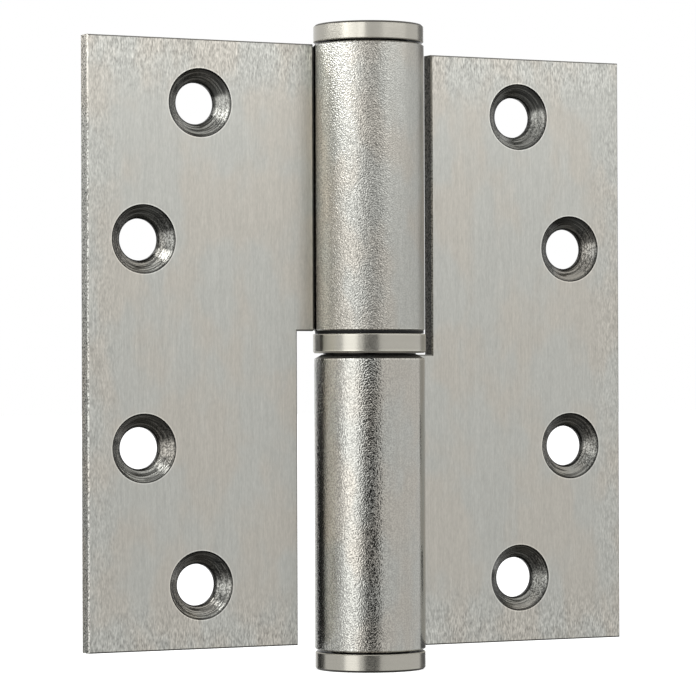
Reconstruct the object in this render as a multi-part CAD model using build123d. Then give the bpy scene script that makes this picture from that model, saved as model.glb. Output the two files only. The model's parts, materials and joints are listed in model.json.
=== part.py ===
"""Lift-off hinge: two leaves with rolled knuckles, a pin fixed in the lower one, and a thrust roller bearing between.

Millimetres. The origin is on the pin's axis at mid height, +X runs along the frame leaf, +Y behind the leaves
and +Z up the pin. At rest the leaves lie open in one plane, with the countersinks facing -Y.
"""

import os
from math import acos, asin, degrees, sqrt

from build123d import *

# Leaves
leaf_height = 89.0
leaf_reach = 44.5  # from the pin's axis to a leaf's free edge
sheet = 2.5
leaf_front = 1.8  # how far the front faces lie behind the axis: half the gap of the closed hinge
leaf_rise = 0.4  # the door leaf sits this much above mid height, the frame leaf as much below
door_notch_reach = 11.05  # from the axis to the edge that passes the other leaf's knuckle
frame_notch_reach = 11.6
edge_break = 0.2  # chamfer along the cut edges

# Rolled knuckles
bore_radius = 5.75
knuckle_radius = bore_radius + sheet
swage_radius = 5.5  # front face of the bend that sets the sheet back behind the axis
seam_gap = 0.4  # between the end of the roll and the leaf's front face

# Screw holes, two rows on each leaf
hole_radius = 3.05
countersink_radius = 5.05
inner_hole_x = 26.7
inner_hole_z = 35.2  # above and below the pattern's centre
outer_hole_x = 35.7
outer_hole_z = 15.15
door_holes_z = leaf_rise
frame_holes_z = 0.0

# Thrust bearing between the knuckles
bearing_bottom = -0.95
bearing_height = 3.3
foot_radius = 6.9  # of the step under the shell, which leaves a crease over the lower knuckle
foot_height = 0.2
shell_radius = 8.4
shell_wall = 0.65
shell_floor = 0.4
shell_height = 2.8
race_bore_radius = 5.9
lower_race_height = 0.45
rim_radius = 8.1  # of the upper raceway, where it reaches over the shell
rim_play = 0.1
roller_radius = 0.75
roller_length = 1.3
roller_count = 12
roller_play = 0.02
cage_height = 0.8
cage_play = 0.1

# Pin and caps
pin_running_radius = 5.7
pin_nose = 1.5
pin_top = 36.0
cap_radius = 8.2
cap_gap = 0.3  # between a cap's head and its knuckle
cap_height = 2.65
cap_bevel = 0.3
cap_shank = 4.0

door_bottom = leaf_rise - leaf_height / 2
door_top = leaf_rise + leaf_height / 2
frame_bottom = -door_top
bearing_top = bearing_bottom + bearing_height
shell_top = bearing_bottom + shell_height
bearing_inner_radius = shell_radius - shell_wall
pitch_radius = (race_bore_radius + bearing_inner_radius) / 2
lower_race_bottom = bearing_bottom + shell_floor
roller_z = lower_race_bottom + lower_race_height + roller_play + roller_radius
upper_race_bottom = roller_z + roller_radius + roller_play


def sheet_line(depth):
    """One line through the rolled sheet, seen along the pin, this deep behind the leaf's front face."""
    centre_y = leaf_front + swage_radius
    bend_x = -sqrt((swage_radius + bore_radius) ** 2 - centre_y**2)
    bend = degrees(acos(centre_y / (swage_radius + bore_radius)))
    end_angle = degrees(asin((leaf_front - seam_gap) / knuckle_radius))
    flat = Line((-leaf_reach, leaf_front + depth), (bend_x, leaf_front + depth))
    swage = JernArc(flat @ 1, flat % 1, swage_radius - depth, bend)
    roll = JernArc(swage @ 1, swage % 1, bore_radius + depth, -(90 + bend + 180 + end_angle))
    return [flat, swage, roll]


def leaf_section():
    """The sheet's section across the pin: flat leaf, swage and roll, all at one thickness."""
    front = sheet_line(0)
    back = sheet_line(sheet)
    free_edge = Line(front[0] @ 0, back[0] @ 0)
    roll_end = Line(front[2] @ 1, back[2] @ 1)
    return make_face([*front, *back, free_edge, roll_end])


def screw_hole(x, z):
    """One countersunk hole through a leaf, with its head on the front face."""
    sink = countersink_radius - hole_radius
    mouth = Pos(x, leaf_front + sink / 2, z) * Rot(90, 0, 0) * Cone(hole_radius, countersink_radius, sink)
    shaft = Pos(x, leaf_front + sheet / 2, z) * Rot(90, 0, 0) * Cylinder(hole_radius, 2 * sheet)
    return mouth + shaft


def turned(*points):
    """A ring or shaft turned round the pin's axis, from its half section as radius and height pairs."""
    section = make_face(Polyline(*[(r, 0, z) for r, z in points], close=True))
    return revolve(section, Axis.Z)


def edge_cut(radial, axial, z, way):
    """What a chamfer takes off the end of a knuckle at height z. The knuckle lies towards way, up or down."""
    spare = 0.3
    slope = axial / radial
    return turned(
        (knuckle_radius - radial, z),
        (knuckle_radius + spare, z + way * slope * (radial + spare)),
        (knuckle_radius + spare, z - way * spare),
        (knuckle_radius - radial, z - way * spare),
    )


def bore_mouth(z, way):
    """The lead-in at the mouth of a bore. The knuckle lies towards way."""
    lead = 0.4
    return turned(
        (0, z - way * lead),
        (bore_radius + 2 * lead, z - way * lead),
        (bore_radius, z + way * lead),
        (0, z + way * lead),
    )


def cut_edges(leaf):
    """The straight edges round the leaf's flat front and back faces, clear of the knuckle."""
    broad_faces = leaf.faces().filter_by(Axis.Y).sort_by(SortBy.AREA)[-2:]
    straight = broad_faces.edges().filter_by(GeomType.LINE)
    return straight.filter_by(lambda edge: edge.center().X < -knuckle_radius)


def make_leaf(knuckle_end, notch_reach, holes_z, end_chamfer):
    """A leaf on the -X side with its knuckle above knuckle_end, where the bearing is."""
    blank = extrude(Pos(0, 0, door_bottom) * leaf_section(), leaf_height)
    below = knuckle_end - door_bottom
    clear = leaf_reach
    notch = Pos(clear / 2 - notch_reach, 0, door_bottom + below / 2) * Box(clear, clear, below)
    leaf = blank - notch
    leaf = chamfer(cut_edges(leaf), edge_break)
    for side in (-1, 1):
        leaf -= screw_hole(-inner_hole_x, holes_z + side * inner_hole_z)
        leaf -= screw_hole(-outer_hole_x, holes_z + side * outer_hole_z)
    leaf -= edge_cut(*end_chamfer, knuckle_end, 1)
    leaf -= edge_cut(0.2, 0.2, door_top, -1)
    leaf -= bore_mouth(knuckle_end, 1)
    return leaf


def door_leaf():
    """The leaf that lifts off, its knuckle resting on the bearing."""
    return make_leaf(bearing_top, door_notch_reach, door_holes_z, (0.1, 0.1))


def frame_leaf():
    """The fixed leaf: the same blank turned end for end, with a deeper chamfer under the bearing."""
    knuckle_end = foot_height - bearing_bottom
    return Rot(0, 180, 0) * make_leaf(knuckle_end, frame_notch_reach, -frame_holes_z, (1.15, 0.65))


def hinge_pin():
    """Pressed into the lower knuckle as far as the bearing, then a running fit in the upper one."""
    bottom = frame_bottom + cap_shank + 0.5
    lead = 0.6
    return turned(
        (0, bottom),
        (bore_radius - lead, bottom),
        (bore_radius, bottom + lead),
        (bore_radius, bearing_bottom),
        (pin_running_radius, bearing_bottom),
        (pin_running_radius, pin_top - 2 * pin_nose),
        (pin_running_radius - pin_nose, pin_top),
        (0, pin_top),
    )


def cap():
    """The upper cap, in one turned piece: a flat head with bevelled rims on a shank pressed into the bore."""
    rim = 0.15
    under = door_top + cap_gap
    top = under + cap_height
    return turned(
        (0, door_top - cap_shank),
        (bore_radius, door_top - cap_shank),
        (bore_radius, under),
        (cap_radius - rim, under),
        (cap_radius, under + rim),
        (cap_radius, top - cap_bevel),
        (cap_radius - cap_bevel, top),
        (0, top),
    )


def bearing_shell():
    """A turned cup round the bearing: its foot stands on the lower knuckle and its wall is the ring that shows."""
    lower_rim = 0.25
    upper_rim = 0.1
    return turned(
        (race_bore_radius, bearing_bottom - foot_height),
        (foot_radius, bearing_bottom - foot_height),
        (foot_radius, bearing_bottom),
        (shell_radius - lower_rim, bearing_bottom),
        (shell_radius, bearing_bottom + lower_rim),
        (shell_radius, shell_top - upper_rim),
        (shell_radius - upper_rim, shell_top),
        (bearing_inner_radius, shell_top),
        (bearing_inner_radius, bearing_bottom + shell_floor),
        (race_bore_radius, bearing_bottom + shell_floor),
    )


def bearing_lower_race():
    """The flat raceway that stays with the frame leaf, seated in the shell."""
    top = lower_race_bottom + lower_race_height
    return turned(
        (race_bore_radius, lower_race_bottom),
        (bearing_inner_radius, lower_race_bottom),
        (bearing_inner_radius, top),
        (race_bore_radius, top),
    )


def bearing_upper_race():
    """The raceway that turns with the door leaf and carries its knuckle. Its rim reaches over the shell."""
    body_radius = bearing_inner_radius - cage_play
    rim_bottom = shell_top + rim_play
    return turned(
        (race_bore_radius, upper_race_bottom),
        (body_radius, upper_race_bottom),
        (body_radius, rim_bottom),
        (rim_radius, rim_bottom),
        (rim_radius, bearing_top),
        (race_bore_radius, bearing_top),
    )


def round_the_pin(number):
    """The place of a numbered roller: its pitch circle, with X pointing outwards."""
    return Pos(0, 0, roller_z) * Rot(0, 0, 360 * number / roller_count) * Pos(pitch_radius, 0, 0)


def bearing_cage():
    """A flat ring between the raceways with one window for each roller."""
    ring = Cylinder(bearing_inner_radius - cage_play, cage_height)
    ring -= Cylinder(race_bore_radius + cage_play, cage_height)
    cage = Pos(0, 0, roller_z) * ring
    for number in range(roller_count):
        window = Box(roller_length + 2 * roller_play, 2 * (roller_radius + roller_play), cage_height)
        cage -= round_the_pin(number) * window
    return cage


def roller(number):
    """One roller, its axis pointing away from the pin."""
    return round_the_pin(number) * Rot(0, 90, 0) * Cylinder(roller_radius, roller_length)


def parts():
    """Every piece by its node name."""
    made = {
        "door_leaf": door_leaf(),
        "frame_leaf": frame_leaf(),
        "hinge_pin": hinge_pin(),
        "top_cap": cap(),
        "bottom_cap": Rot(0, 180, 0) * cap(),
        "bearing_shell": bearing_shell(),
        "bearing_lower_race": bearing_lower_race(),
        "bearing_upper_race": bearing_upper_race(),
        "bearing_cage": bearing_cage(),
    }
    for number in range(1, roller_count + 1):
        made[f"roller_{number:02d}"] = roller(number)
    return made


os.makedirs("parts", exist_ok=True)
for name, solid in parts().items():
    export_step(solid, f"parts/{name}.step")
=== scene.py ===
"""Looks of a stainless lift-off hinge: a finish for every piece, a studio and the camera.

Metres, in the part's frame. The hinge's axis is Z. The door leaf lies towards -X, the frame leaf towards +X,
and the countersinks face -Y.
"""

import json
from math import cos, radians, sin

import bpy
from mathutils import Matrix, Vector


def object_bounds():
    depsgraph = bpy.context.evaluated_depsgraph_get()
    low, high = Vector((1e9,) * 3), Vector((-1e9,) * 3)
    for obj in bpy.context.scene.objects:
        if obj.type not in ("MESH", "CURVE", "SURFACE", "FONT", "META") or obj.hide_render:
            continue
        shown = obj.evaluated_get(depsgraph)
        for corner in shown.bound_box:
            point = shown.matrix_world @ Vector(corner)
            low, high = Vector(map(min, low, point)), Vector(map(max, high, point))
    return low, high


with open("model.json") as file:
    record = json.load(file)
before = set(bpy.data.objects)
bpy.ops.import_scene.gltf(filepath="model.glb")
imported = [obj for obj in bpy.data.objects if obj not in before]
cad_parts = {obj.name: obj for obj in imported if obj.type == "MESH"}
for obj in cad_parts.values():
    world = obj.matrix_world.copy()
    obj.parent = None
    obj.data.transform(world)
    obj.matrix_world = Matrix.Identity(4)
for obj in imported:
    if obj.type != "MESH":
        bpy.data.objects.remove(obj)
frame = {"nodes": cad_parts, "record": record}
nodes = frame["nodes"]
cad_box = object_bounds()

MM = 0.001

# The camera, as turns about the hinge's middle
VIEW_AZIMUTH = -27.27
VIEW_ELEVATION = -0.63
VIEW_ROLL = -0.21
VIEW_DISTANCE = 0.5153
IMAGE_SIDE = 696
FOCAL_PIXELS = 3461.6
AXIS_OFFSET = (21.4, -1.3)  # pixels from the image's middle to the optical axis, right and down
SENSOR = 36.0

# Where the finishes change on the leaves
COUNTERSINK_RADIUS = 5.05 * MM
HOLE_RADIUS = 3.05 * MM
KNUCKLE_REACH = 8.4 * MM  # from the axis to a little outside the rolled sheet
LEAF_FRONT = 1.75 * MM  # a little in front of the leaves' front faces
SEAM_SHADE_REACH = 8.4 * MM  # how far from the axis the painted shade along the seam runs onto the leaf
LEAF_END = 44.0 * MM  # a little inside the leaves' outer edges, both up and along

# Where they change on the turned pieces
SHELL_RIMS = (-0.62 * MM, 1.7 * MM)  # heights of the painted highlights along the bearing ring's edges
CAP_NECK = 44.2 * MM  # height a little inside the gaps under the caps' heads
CAP_MIDDLE = 46.5 * MM  # height between a cap head's inner and outer rims

WARM_STEEL = (0.46, 0.439, 0.394)
COOL_STEEL = (0.445, 0.445, 0.414)
TURNED_STEEL = (0.405, 0.39, 0.345)
# near black for the bearing's upper race: painted shade for the gap between the upper knuckle and the
# bearing ring
PAINTED_GAP_SHADE = (0.02, 0.02, 0.02)
POLISHED_STEEL = (0.6, 0.6, 0.58)
BRASS = (0.62, 0.45, 0.2)

FLOOR_REACH = 4.0  # from the hinge to the floor's edges
FLOOR_TONE = 0.8
FLOOR_GLOW = 0.6  # what its own light adds where it is seen
CARD_BOTTOM = -0.105

# How bright the studio is at each height, as the sine of the elevation and the share of white
STUDIO = (
    (-1.0, 0.18),
    (-0.6, 0.3),
    (-0.34, 0.5),
    (-0.24, 0.82),
    (-0.1, 0.9),
    (-0.03, 1.0),
    (0.15, 1.0),
    (0.4, 0.85),
    (1.0, 0.70),
)
# Its least share behind the hinge, reached as a direction's Y goes from the first bound to the second
BACK_SHARE = 0.85
BACK_BOUNDS = (0.5, 0.7)


class NodeTree:
    """A tree of shader nodes, written as sums and products of its textures."""

    def __init__(self, tree):
        self.tree = tree

    def node(self, kind, *values, **settings):
        """A node with its settings and its inputs in order. None leaves an input as it is."""
        made = self.tree.nodes.new("ShaderNode" + kind)
        for name, value in settings.items():
            setattr(made, name, value)
        for socket, value in zip(made.inputs, values):
            self.feed(socket, value)
        return made

    def feed(self, socket, value):
        """Links a node's output to a socket, or sets a plain value on it."""
        if isinstance(value, bpy.types.NodeSocket):
            self.tree.links.new(value, socket)
        elif value is not None:
            socket.default_value = (*value, 1.0) if socket.type == "RGBA" else value

    def math(self, operation, *values):
        return self.node("Math", *values, operation=operation).outputs[0]

    def times(self, a, b):
        return self.math("MULTIPLY", a, b)

    def either(self, a, b):
        return self.math("MAXIMUM", a, b)

    def size(self, a):
        return self.math("ABSOLUTE", a)

    def gap(self, a, b):
        """How far a value is from another, either way."""
        return self.size(self.math("SUBTRACT", a, b))

    def inverse(self, a):
        return self.math("SUBTRACT", 1.0, a)

    def plus_share(self, start, mask, share):
        """A value with this share of a mask added to it."""
        return self.math("MULTIPLY_ADD", mask, share, start)

    def ramp(self, value, low, high, start=0.0, end=1.0):
        """Start below low and end above high, with a smooth step between."""
        step = self.node("MapRange", value, low, high, start, end, interpolation_type="SMOOTHSTEP")
        return step.outputs["Result"]

    def line(self, value, centre, half_width, core):
        """A mask of a thin line where a value is near its centre. It is full within the core."""
        return self.ramp(self.gap(value, centre), half_width, core)

    def parts_of(self, vector):
        return self.node("SeparateXYZ", vector).outputs

    def vector(self, x, y, z):
        return self.node("CombineXYZ", x, y, z).outputs[0]

    def scaled(self, vector, scale):
        """A vector or a colour times one factor, or times one for each of its parts."""
        return self.node("VectorMath", vector, scale, operation="MULTIPLY").outputs[0]

    def length(self, vector):
        return self.node("VectorMath", vector, operation="LENGTH").outputs["Value"]

    def noise(self, vector, scale, detail=2.0, roughness=0.5):
        """Noise from 0 to 1. Scale is how many grains there are to a metre, for each axis."""
        place = self.scaled(vector, scale)
        return self.node("TexNoise", place, None, 1.0, detail, roughness).outputs["Fac"]

    def spread(self, texture, amount):
        """A factor about 1 that follows a texture's noise, which is about 0.5."""
        centred = self.math("SUBTRACT", texture, 0.5)
        return self.math("MULTIPLY_ADD", centred, amount, 1.0)

    def shaded(self, tone, changes):
        """A tone after changes, each a mask and the share that it adds or, below zero, takes off."""
        for mask, share in changes:
            tone = self.times(tone, self.plus_share(1.0, mask, share))
        return tone

    def blend(self, share, a, b):
        """Colour a where share is 0, colour b where it is 1."""
        mix = self.node("Mix", data_type="RGBA")
        self.feed(mix.inputs[0], share)
        self.feed(mix.inputs[6], a)
        self.feed(mix.inputs[7], b)
        return mix.outputs[2]

    def bump(self, height, depth, strength=1.0, under=None):
        """Relief of this depth in metres from a height between 0 and 1, on top of another relief."""
        made = self.node("Bump")
        self.feed(made.inputs["Strength"], strength)
        self.feed(made.inputs["Distance"], depth)
        self.feed(made.inputs["Height"], height)
        self.feed(made.inputs["Normal"], under)
        return made.outputs[0]


class Finish(NodeTree):
    """One material, with a point's place, its distance from the hinge's axis and its normal at hand."""

    def __init__(self, name, metallic=1.0):
        self.material = bpy.data.materials.new(name)
        self.material.use_nodes = True
        super().__init__(self.material.node_tree)
        self.shader = self.tree.nodes["Principled BSDF"]
        self.put("Metallic", metallic)
        coordinates = self.node("TexCoord").outputs
        self.place = coordinates["Object"]
        self.x, self.y, self.z = self.parts_of(self.place)
        self.out = self.length(self.vector(self.x, self.y, 0.0))
        self.side, self.up = self.size(self.x), self.size(self.z)
        self.normal_x, self.normal_y, self.normal_z = self.parts_of(coordinates["Normal"])
        self.steep_x = self.size(self.normal_x)
        self.steep_y = self.size(self.normal_y)
        self.steep_z = self.size(self.normal_z)

    def put(self, socket, value):
        self.feed(self.shader.inputs[socket], value)

    def done(self, colour, roughness, relief=None):
        self.put("Base Color", colour)
        self.put("Roughness", roughness)
        self.put("Normal", relief)
        return self.material


def screw_holes(leaf):
    """Centres of one leaf's screw holes, as X and Z, from the mounts of the part's record."""
    found = []
    for mount in frame["record"]["mounts"]:
        if mount["kind"] == "bolt_pattern" and mount["name"].startswith(leaf):
            x, _, z = mount["pos_m"]
            half = mount["dims"]["spacing_y_mm"] / 2 * MM
            found += [(x, z - half), (x, z + half)]
    return found


def distance_to_holes(f, holes):
    """How far a point is from the nearest screw hole's axis."""
    flat = f.vector(f.x, 0.0, f.z)
    nearest = None
    for hole_x, hole_z in holes:
        one = f.node("VectorMath", flat, (hole_x, 0.0, hole_z), operation="DISTANCE").outputs["Value"]
        nearest = one if nearest is None else f.math("MINIMUM", nearest, one)
    return nearest


def countersinks(f, leaf):
    """A leaf's countersinks: cone mask, turning marks, ridges, and changes of tone with painted shade and
    highlights.
    """
    from_hole = distance_to_holes(f, screw_holes(leaf))
    within = f.ramp(from_hole, COUNTERSINK_RADIUS + 0.1 * MM, COUNTERSINK_RADIUS)
    cone = f.times(within, f.ramp(f.steep_y, 0.95, 0.9))
    wander = 0.03  # lets a turning mark change along its way round
    round_hole = f.vector(from_hole, f.times(f.x, wander), f.times(f.z, wander))
    marks = f.noise(round_hole, (5200.0, 5200.0, 5200.0), 1.0, 0.6)
    ridges = f.times(cone, f.ramp(marks, 0.52, 0.58))
    mouth = f.ramp(from_hole, COUNTERSINK_RADIUS - 0.35 * MM, COUNTERSINK_RADIUS - 0.1 * MM)
    throat = f.ramp(from_hole, HOLE_RADIUS + 0.35 * MM, HOLE_RADIUS + 0.15 * MM)
    facing_down = f.ramp(f.normal_z, -0.12, -0.3)
    lip_highlight = f.line(from_hole, COUNTERSINK_RADIUS + 0.07 * MM, 0.12 * MM, 0.03 * MM)
    changes = (
        (f.times(cone, f.ramp(marks, 0.5, 0.4)), -0.35),
        # painted shade: the whole cone a little darker, as in a recess
        (cone, -0.25),
        # painted shade under the rim, on the half of the cone that faces down
        (f.times(cone, facing_down), -0.45),
        # painted highlight on the ridges of the turning marks, which are also rougher
        (ridges, 0.35),
        # painted shade: dark rings where the cone meets the front face and the through hole
        (f.times(cone, f.either(mouth, throat)), -0.8),
        # painted highlight: a bright line round each countersink's rim on the leaf's front face
        (f.times(lip_highlight, f.ramp(f.normal_y, -0.9, -0.99)), 0.35),
    )
    return cone, marks, ridges, changes


def rolled_knuckle(f, leaf, rim_height, specks):
    """A leaf's rolled part: its mask, its coarse side, the face that ends the roll and changes of tone, some
    of them painted light.
    """
    on_knuckle = f.ramp(f.out, KNUCKLE_REACH + 0.2 * MM, KNUCKLE_REACH)
    coarse = f.times(on_knuckle, f.ramp(f.x, 0.5 * MM, -3 * MM, 0.3, 1.0))
    low_and_steep = f.times(f.ramp(f.steep_z, 0.25, 0.4), f.ramp(f.up, 3 * MM, 2.6 * MM))
    end_face = f.times(on_knuckle, low_and_steep)
    towards_leaf = f.times(f.x, 1.0 if leaf == "frame" else -1.0)
    beside_leaf = f.ramp(towards_leaf, 7.7 * MM, 8.2 * MM)
    rim = f.times(on_knuckle, f.line(f.up, rim_height, 0.14 * MM, 0.05 * MM))
    changes = (
        (on_knuckle, -0.13),
        # painted light: the knuckle's strip beside the leaf made lighter
        (f.times(on_knuckle, beside_leaf), 0.6),
        # painted highlight along the knuckle's rim beside the bearing, broken up by specks
        (f.times(rim, f.ramp(specks, 0.35, 0.55)), 0.5),
    )
    return on_knuckle, coarse, end_face, changes


def cut_edges(f, off_knuckle, notch_reach, specks):
    """A leaf's cut faces and the chamfers along them: the faces' mask, their pits and changes of tone, with
    painted shade on the notch's side.
    """
    cut = f.either(f.times(off_knuckle, f.ramp(f.steep_x, 0.9, 0.97)), f.ramp(f.steep_z, 0.9, 0.97))
    pits = f.times(cut, f.ramp(specks, 0.5, 0.4))
    glints = f.times(cut, f.ramp(specks, 0.55, 0.63))
    notch_side_shade = f.times(cut, f.ramp(f.side, notch_reach + 0.6 * MM, notch_reach + 0.3 * MM))
    side_chamfer = f.times(f.times(off_knuckle, f.ramp(f.steep_x, 0.3, 0.5)), f.ramp(f.steep_x, 0.9, 0.8))
    worn = f.times(f.ramp(specks, 0.54, 0.42), f.ramp(f.z, 39 * MM, 34 * MM))
    at_leaf_end = f.times(off_knuckle, f.ramp(f.up, LEAF_END - 0.5 * MM, LEAF_END))
    end_chamfer = f.times(at_leaf_end, f.ramp(f.steep_z, 0.3, 0.5))
    changes = (
        (cut, -0.15),
        (pits, -0.75),
        (glints, 0.3),
        # painted shade: the cut face at the notch's side, beside the knuckle, darker
        (notch_side_shade, -0.7),
        (f.times(side_chamfer, worn), -0.6),
        (end_chamfer, -0.5),
    )
    return cut, pits, changes


def painted_seam_shade(f):
    """Painted shade in the crease where the leaf's front face meets the end of the roll."""
    beside_seam = f.ramp(f.side, SEAM_SHADE_REACH + 0.2 * MM, SEAM_SHADE_REACH)
    behind_front = f.ramp(f.y, LEAF_FRONT - 0.2 * MM, LEAF_FRONT)
    return f.times(f.times(beside_seam, behind_front), f.ramp(f.normal_y, -0.4, -0.6))


def leaf_finish(name, leaf, notch_reach, rim_height, knuckle_roughness, stipple):
    """Sheet steel: fine grain up the leaf, specked cut edges, turned countersinks and a stippled knuckle.

    The notch's side lies notch_reach from the axis, and the painted highlight along the knuckle's rim beside
    the bearing lies rim_height from mid height. Stipple is the depth of the knuckle's relief.
    """
    f = Finish(name)
    streaks = f.noise(f.place, (5200.0, 5200.0, 420.0), 3.0)
    long_streaks = f.noise(f.place, (1500.0, 1500.0, 40.0), 2.0)
    flecks = f.noise(f.place, (5200.0, 5200.0, 1500.0), 1.0, 0.6)
    specks = f.noise(f.place, (4200.0, 4200.0, 3600.0), 1.0)
    clouds = f.noise(f.place, (160.0, 160.0, 90.0), 2.0)
    peel = f.noise(f.place, (5200.0, 5200.0, 4800.0), 0.0)
    grit = f.ramp(f.noise(f.place, (4700.0, 4700.0, 4300.0), 0.0), 0.38, 0.62)

    on_knuckle, coarse, roll_end, knuckle_changes = rolled_knuckle(f, leaf, rim_height, specks)
    off_knuckle = f.inverse(on_knuckle)
    cut, pits, cut_changes = cut_edges(f, off_knuckle, notch_reach, specks)
    cone, turning_marks, ridges, sink_changes = countersinks(f, leaf)
    near_free_edge = f.times(f.ramp(f.side, 38 * MM, LEAF_END), 0.5)
    near_end = f.times(f.either(f.ramp(f.up, 34 * MM, 45 * MM), near_free_edge), off_knuckle)

    tone = f.times(f.spread(streaks, 0.3), f.spread(long_streaks, 0.12))
    tone = f.times(tone, f.spread(flecks, f.plus_share(0.25, near_end, 1.5)))
    tone = f.times(tone, f.spread(grit, f.times(coarse, 0.4)))
    tone = f.shaded(tone, (*knuckle_changes, *cut_changes, (painted_seam_shade(f), -0.9), *sink_changes))
    colour = f.blend(f.ramp(clouds, 0.4, 0.6), WARM_STEEL, COOL_STEEL)

    roughness = f.plus_share(0.28, streaks, 0.08)
    roughness = f.plus_share(roughness, on_knuckle, knuckle_roughness - 0.32)
    roughness = f.plus_share(roughness, f.either(cut, roll_end), 0.3)
    roughness = f.plus_share(roughness, cone, -0.12)
    roughness = f.plus_share(roughness, ridges, 0.4)

    relief = f.bump(streaks, 0.005 * MM, 0.6)
    relief = f.bump(f.times(specks, 0.4), 0.006 * MM, 0.6, relief)
    relief = f.bump(f.times(peel, coarse), stipple, 1.0, relief)
    relief = f.bump(f.times(turning_marks, cone), 0.05 * MM, 1.0, relief)
    relief = f.bump(pits, 0.04 * MM, 1.0, relief)
    return f.done(f.scaled(colour, tone), roughness, relief)


def turned_finish(name, colour=TURNED_STEEL, roughness=0.22):
    """A turned piece: fine grooves round the axis, painted shade in the crevices and on the outer rims, and
    painted highlights on the inner ones.
    """
    f = Finish(name)
    turn = f.times(f.math("ARCTAN2", f.y, f.x), 0.1 * MM)
    grooves = f.noise(f.vector(f.out, f.z, turn), (9000.0, 7000.0, 9000.0), 3.0, 0.6)
    grain = f.noise(f.place, (3000.0, 3000.0, 3000.0), 2.0)

    below_cap_middle = f.ramp(f.up, CAP_MIDDLE, CAP_MIDDLE - 0.5 * MM)
    cap_neck = f.times(f.ramp(f.up, CAP_NECK, CAP_NECK + 0.2 * MM), below_cap_middle)
    shell_foot = f.times(f.ramp(f.z, -0.85 * MM, -0.95 * MM), f.ramp(f.z, -1.4 * MM, -1.3 * MM))
    crevice_shade = f.times(f.ramp(f.out, 8.1 * MM, 8.0 * MM), f.either(cap_neck, shell_foot))
    bevel = f.times(f.ramp(f.steep_z, 0.3, 0.5), f.ramp(f.steep_z, 0.9, 0.8))
    outer_bevel = f.times(bevel, f.ramp(f.up, CAP_MIDDLE - 0.5 * MM, CAP_MIDDLE))
    inner_bevel = f.times(bevel, f.inverse(outer_bevel))
    lower_rim, upper_rim = [f.line(f.z, height, 0.12 * MM, 0.05 * MM) for height in SHELL_RIMS]

    tone = f.times(f.spread(grooves, 0.12), f.spread(grain, 0.10))
    tone = f.shaded(tone, (
        # painted shade in the gaps under the caps' heads and at the bearing shell's foot
        (crevice_shade, -0.95),
        # painted shade on the caps' outer bevels
        (outer_bevel, -0.7),
        # painted highlights on the inner bevels and along the bearing ring's edges
        (f.either(inner_bevel, f.either(lower_rim, upper_rim)), 0.3),
    ))
    rough = f.plus_share(roughness - 0.06, grain, 0.12)
    rough = f.plus_share(rough, bevel, 0.3)
    relief = f.bump(grooves, 0.004 * MM, 0.7)
    relief = f.bump(grain, 0.004 * MM, 0.4, relief)
    return f.done(f.scaled(colour, tone), rough, relief)


def dress(names, material):
    """Gives pieces of the hinge a finish."""
    for name in names:
        nodes[name].data.materials.clear()
        nodes[name].data.materials.append(material)


def around(azimuth, elevation, distance):
    """A point seen from the hinge's middle. Azimuth 0 is straight in front and 90 is on the right."""
    a, e = radians(azimuth), radians(elevation)
    return distance * Vector((sin(a) * cos(e), -cos(a) * cos(e), sin(e)))


def softbox(name, azimuth, elevation, distance, width, height, power):
    """A lamp that faces the hinge's middle and isn't seen itself."""
    light = bpy.data.lights.new(name, "AREA")
    light.shape = "RECTANGLE"
    light.size = width
    light.size_y = height
    light.energy = power
    lamp = bpy.data.objects.new(name, light)
    lamp.location = around(azimuth, elevation, distance)
    lamp.rotation_mode = "QUATERNION"
    lamp.rotation_quaternion = lamp.location.to_track_quat("Z", "Y")
    lamp.visible_camera = False
    bpy.context.scene.collection.objects.link(lamp)


def flat_piece(name, corners):
    """One face of the studio, which isn't part of the hinge."""
    mesh = bpy.data.meshes.new(name)
    mesh.from_pydata(corners, [], [tuple(range(len(corners)))])
    made = bpy.data.objects.new(name, mesh)
    bpy.context.scene.collection.objects.link(made)
    return made


def dark_card(name, from_azimuth, to_azimuth, distance, top, tone):
    """An upright card beside the camera's view, which only the metal's reflections show."""
    left, right = around(from_azimuth, 0, distance), around(to_azimuth, 0, distance)
    low, high = Vector((0, 0, CARD_BOTTOM)), Vector((0, 0, top))
    card = flat_piece(name, [left + low, right + low, right + high, left + high])
    card.visible_camera = False
    card.visible_diffuse = False
    card.visible_shadow = False
    card.data.materials.append(Finish(name, metallic=0.0).done((tone, tone, tone), 1.0))


def make_floor(height):
    """A pale floor that shows white, keeps the hinge's shadow and stays out of the metal's reflections."""
    corners = [(-1, -1), (1, -1), (1, 1), (-1, 1)]
    floor = flat_piece("floor", [(x * FLOOR_REACH, y * FLOOR_REACH, height) for x, y in corners])
    floor.visible_glossy = False
    f = Finish("floor", metallic=0.0)
    path = f.node("LightPath").outputs
    seen = f.either(path["Is Camera Ray"], f.either(path["Is Glossy Ray"], path["Is Transmission Ray"]))
    f.put("Specular IOR Level", 0.0)
    f.put("Emission Color", (1.0, 1.0, 1.0))
    f.put("Emission Strength", f.times(seen, FLOOR_GLOW))
    floor.data.materials.append(f.done((FLOOR_TONE, FLOOR_TONE, FLOOR_TONE), 1.0))


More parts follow.
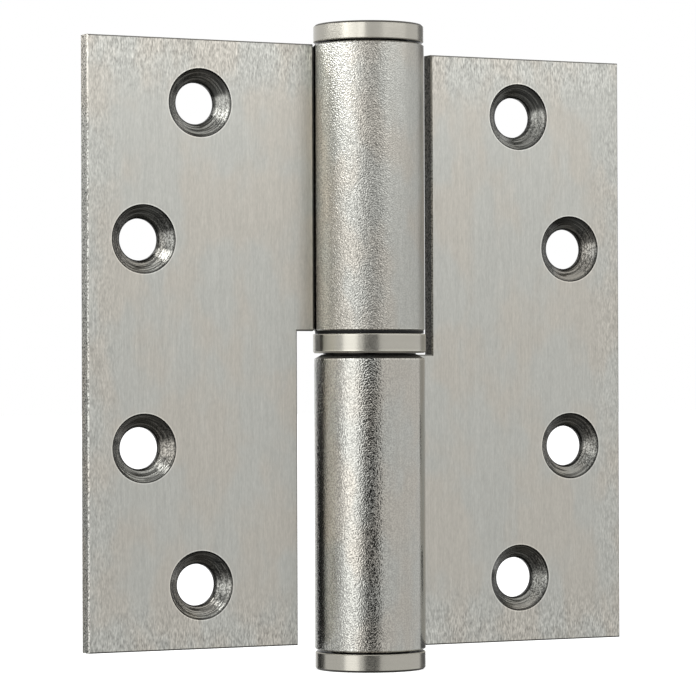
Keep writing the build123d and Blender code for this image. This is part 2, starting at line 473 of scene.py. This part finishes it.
def make_world():
    """A studio that is white round the horizon and darker above and below, except behind the hinge."""
    world = bpy.data.worlds.new("studio")
    world.use_nodes = True
    bpy.context.scene.world = world
    n = NodeTree(world.node_tree)
    background = world.node_tree.nodes["Background"]
    _, y, z = n.parts_of(n.node("TexCoord").outputs["Generated"])
    height = n.node("MapRange", z, -1.0, 1.0, 0.0, 1.0).outputs["Result"]
    shade = n.node("ValToRGB", height)
    stops = shade.color_ramp.elements
    while len(stops) < len(STUDIO):
        stops.new(0.5)
    for stop, (sine, share) in zip(stops, STUDIO):
        stop.position = (sine + 1) / 2
        stop.color = (share, share, share, 1.0)
    behind = n.node("MapRange", y, *BACK_BOUNDS, 0.0, BACK_SHARE).outputs["Result"]
    n.feed(background.inputs["Color"], n.either(shade.outputs["Color"], behind))
    n.feed(background.inputs["Strength"], 1.0)


def make_camera():
    """A long lens a little below the hinge's middle, on the door leaf's side."""
    data = bpy.data.cameras.new("camera")
    data.sensor_width = SENSOR
    data.lens = SENSOR * FOCAL_PIXELS / IMAGE_SIDE
    data.shift_x = -AXIS_OFFSET[0] / IMAGE_SIDE
    data.shift_y = AXIS_OFFSET[1] / IMAGE_SIDE
    camera = bpy.data.objects.new("camera", data)
    bpy.context.scene.collection.objects.link(camera)
    back = around(VIEW_AZIMUTH, VIEW_ELEVATION, 1.0)
    turn = back.to_track_quat("Z", "Y").to_matrix().to_4x4()
    roll = Matrix.Rotation(radians(VIEW_ROLL), 4, "Z")
    camera.matrix_world = Matrix.Translation(VIEW_DISTANCE * back) @ turn @ roll
    bpy.context.scene.camera = camera


door_steel = leaf_finish(
    "door_leaf_steel",
    "door",
    notch_reach=11.05 * MM,
    rim_height=2.55 * MM,
    knuckle_roughness=0.3,
    stipple=0.065 * MM,
)
frame_steel = leaf_finish(
    "frame_leaf_steel",
    "frame",
    notch_reach=11.6 * MM,
    rim_height=1.9 * MM,
    knuckle_roughness=0.12,
    stipple=0.04 * MM,
)
rollers = [name for name in nodes if name.startswith("roller_")]
dress(["door_leaf"], door_steel)
dress(["frame_leaf"], frame_steel)
dress(["top_cap", "bottom_cap", "bearing_shell"], turned_finish("turned_steel"))
dress(["hinge_pin"], turned_finish("pin_steel", roughness=0.2))
# painted shade: the upper race is dressed near black to stand for the shadow in the gap above the bearing
# ring
dress(["bearing_upper_race"], turned_finish("dark_steel", PAINTED_GAP_SHADE, roughness=0.5))
dress(["bearing_lower_race", *rollers], turned_finish("bearing_steel", POLISHED_STEEL, roughness=0.15))
dress(["bearing_cage"], turned_finish("cage_brass", BRASS, roughness=0.3))

make_floor(cad_box[0].z)
make_world()
softbox("left_softbox", azimuth=-66.5, elevation=2, distance=0.5, width=0.277, height=0.31, power=0.33)
softbox("front_softbox", azimuth=30, elevation=32, distance=0.4, width=0.4, height=0.25, power=0.4)
softbox("top_softbox", azimuth=-95, elevation=41, distance=0.13, width=0.11, height=0.045, power=0.095)
softbox("upper_softbox", azimuth=-42, elevation=14, distance=0.5, width=0.13, height=0.12, power=0.085)
dark_card("camera_card", from_azimuth=-40, to_azimuth=-8, distance=0.45, top=0.026, tone=0.02)
dark_card("side_card", from_azimuth=100, to_azimuth=135, distance=0.45, top=0.22, tone=0.3)
dark_card("back_card", from_azimuth=187, to_azimuth=222, distance=0.40, top=0.014, tone=0.02)
make_camera()
bpy.context.scene.view_settings.view_transform = "Standard"
